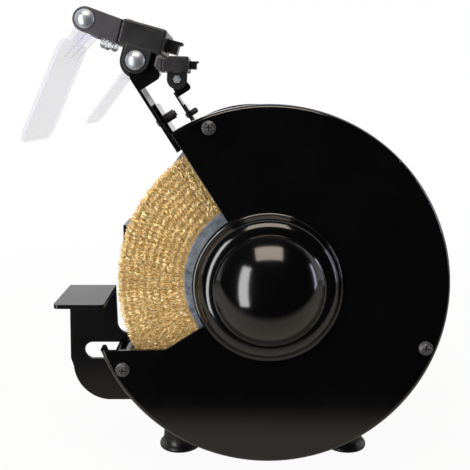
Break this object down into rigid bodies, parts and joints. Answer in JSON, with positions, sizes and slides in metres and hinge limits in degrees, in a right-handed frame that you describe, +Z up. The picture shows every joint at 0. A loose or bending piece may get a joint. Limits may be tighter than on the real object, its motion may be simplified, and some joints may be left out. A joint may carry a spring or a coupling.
{
  "type": "bench grinder",
  "caption": "Bench grinder with a motor on a pedestal, a guarded wire wheel and grinding wheel, tool rests, spark arresters and eye shields with lamps.",
  "frame": {"origin": "floor plane below the spindle, at the centre of the bench bolt pattern", "axes": "+X along the spindle towards the wire wheel, -Y towards the operator, +Z up"},
  "size_m": [0.4, 0.2916, 0.3179],
  "materials": {
    "black_paint": "gloss black enamel",
    "grey_paint": "satin dark grey enamel",
    "cast_base": "satin black paint on grey iron",
    "bell_alloy": "satin black paint on die-cast alloy",
    "zinc": "bright zinc plate",
    "black_screw": "black oxide",
    "steel": "ground steel",
    "laminations": "stacked electrical steel",
    "copper": "enamelled copper winding",
    "alloy": "cast",
    "wire": "brass-coated crimped steel wire",
    "stone": "vitrified grey aluminium oxide",
    "card": "compressible paper",
    "rubber": "moulded black rubber",
    "black_plastic": "textured black",
    "clear": "clear polycarbonate",
    "led": "clear epoxy",
    "can": "drawn can",
    "cell": "metal jacket",
    "switch": "gloss black",
    "rocker": "gloss green"
  },
  "bodies": {
    "frame": {"base": "cast_base", "base_plate": "grey_paint", "base_plate_screws": "black_screw", "rubber_feet": "rubber", "motor_housing": "black_paint", "end_bell_right": "bell_alloy", "end_bell_left": "bell_alloy", "through_bolts": "zinc", "motor_screws": "zinc", "stator_core": "laminations", "stator_windings": "copper", "bearing_outer_rings": "steel", "capacitor": "can", "switch_frame": "switch", "cord_gland": "black_plastic", "guard_right": "black_paint", "guard_left": "black_paint", "guard_cover_right": "black_paint", "guard_cover_left": "black_paint", "guard_screws": "zinc", "cover_screws": "black_screw", "arrester_screws": "black_screw", "arrester_nuts": "black_screw", "rest_bolts": "zinc", "rest_nuts": "zinc"},
    "spindle": {"spindle": "steel", "rotor_core": "laminations", "rotor_end_rings": "alloy", "inner_flanges": "zinc", "outer_flanges": "zinc", "spindle_nuts": "zinc", "brush_bristles": "wire", "brush_side_plates": "zinc", "brush_hub": "steel", "grinding_wheel": "stone", "wheel_bush": "black_plastic", "wheel_blotters": "card", "bearing_inner_rings": "steel", "bearing_balls": "steel"},
    "rocker": {"switch_rocker": "rocker"},
    "arrester_right": {"arrester_right": "black_paint"},
    "lamp_right": {"lamp_head_right": "black_plastic", "battery_case_right": "black_plastic", "led_lamps_right": "led", "batteries_right": "cell", "lamp_bolts_right": "zinc", "lamp_nuts_right": "zinc"},
    "shield_right": {"eye_shield_right": "clear"},
    "button_right": {"lamp_button_right": "black_plastic"},
    "rest_right": {"tool_rest_right": "black_paint"},
    "arrester_left": {"arrester_left": "black_paint"},
    "lamp_left": {"lamp_head_left": "black_plastic", "battery_case_left": "black_plastic", "led_lamps_left": "led", "batteries_left": "cell", "lamp_bolts_left": "zinc", "lamp_nuts_left": "zinc"},
    "shield_left": {"eye_shield_left": "clear"},
    "button_left": {"lamp_button_left": "black_plastic"},
    "rest_left": {"tool_rest_left": "black_paint"}
  },
  "joints": [
    {"name": "spindle_spin", "type": "hinge", "parent": "frame", "child": "spindle", "pos_m": [0, 0, 0.142], "axis": [1, 0, 0], "continuous": true},
    {"name": "mains_switch", "type": "hinge", "parent": "frame", "child": "rocker", "pos_m": [0, -0.05382, 0.05162], "axis": [1, 0, 0], "range_deg": [0, 14]},
    {"name": "arrester_slide_right", "type": "slide", "parent": "frame", "child": "arrester_right", "axis": [0, -0.5344, 0.8453], "range_m": [-0.002, 0.007]},
    {"name": "lamp_tilt_right", "type": "hinge", "parent": "arrester_right", "child": "lamp_right", "pos_m": [0, -0.08329, 0.28479], "axis": [1, 0, 0], "range_deg": [-30, 25]},
    {"name": "shield_tilt_right", "type": "hinge", "parent": "lamp_right", "child": "shield_right", "pos_m": [0, -0.11403, 0.31013], "axis": [1, 0, 0], "range_deg": [-60, 20]},
    {"name": "lamp_button_right", "type": "slide", "parent": "lamp_right", "child": "button_right", "axis": [0, 0.9636, -0.2672], "range_m": [-0.0009, 0], "stiffness_N_per_m": 900, "springref_m": 0.001},
    {"name": "rest_slide_right", "type": "slide", "parent": "frame", "child": "rest_right", "axis": [0, 1, 0], "range_m": [-0.014, 0.003]},
    {"name": "arrester_slide_left", "type": "slide", "parent": "frame", "child": "arrester_left", "axis": [0, -0.5344, 0.8453], "range_m": [-0.002, 0.007]},
    {"name": "lamp_tilt_left", "type": "hinge", "parent": "arrester_left", "child": "lamp_left", "pos_m": [0, -0.08329, 0.28479], "axis": [1, 0, 0], "range_deg": [-43.5, 11.5]},
    {"name": "shield_tilt_left", "type": "hinge", "parent": "lamp_left", "child": "shield_left", "pos_m": [0, -0.1191, 0.30225], "axis": [1, 0, 0], "range_deg": [-46, 34]},
    {"name": "lamp_button_left", "type": "slide", "parent": "lamp_left", "child": "button_left", "axis": [0, 0.9994, -0.0349], "range_m": [-0.0009, 0], "stiffness_N_per_m": 900, "springref_m": 0.001},
    {"name": "rest_slide_left", "type": "slide", "parent": "frame", "child": "rest_left", "axis": [0, 1, 0], "range_m": [-0.014, 0.003]}
  ]
}
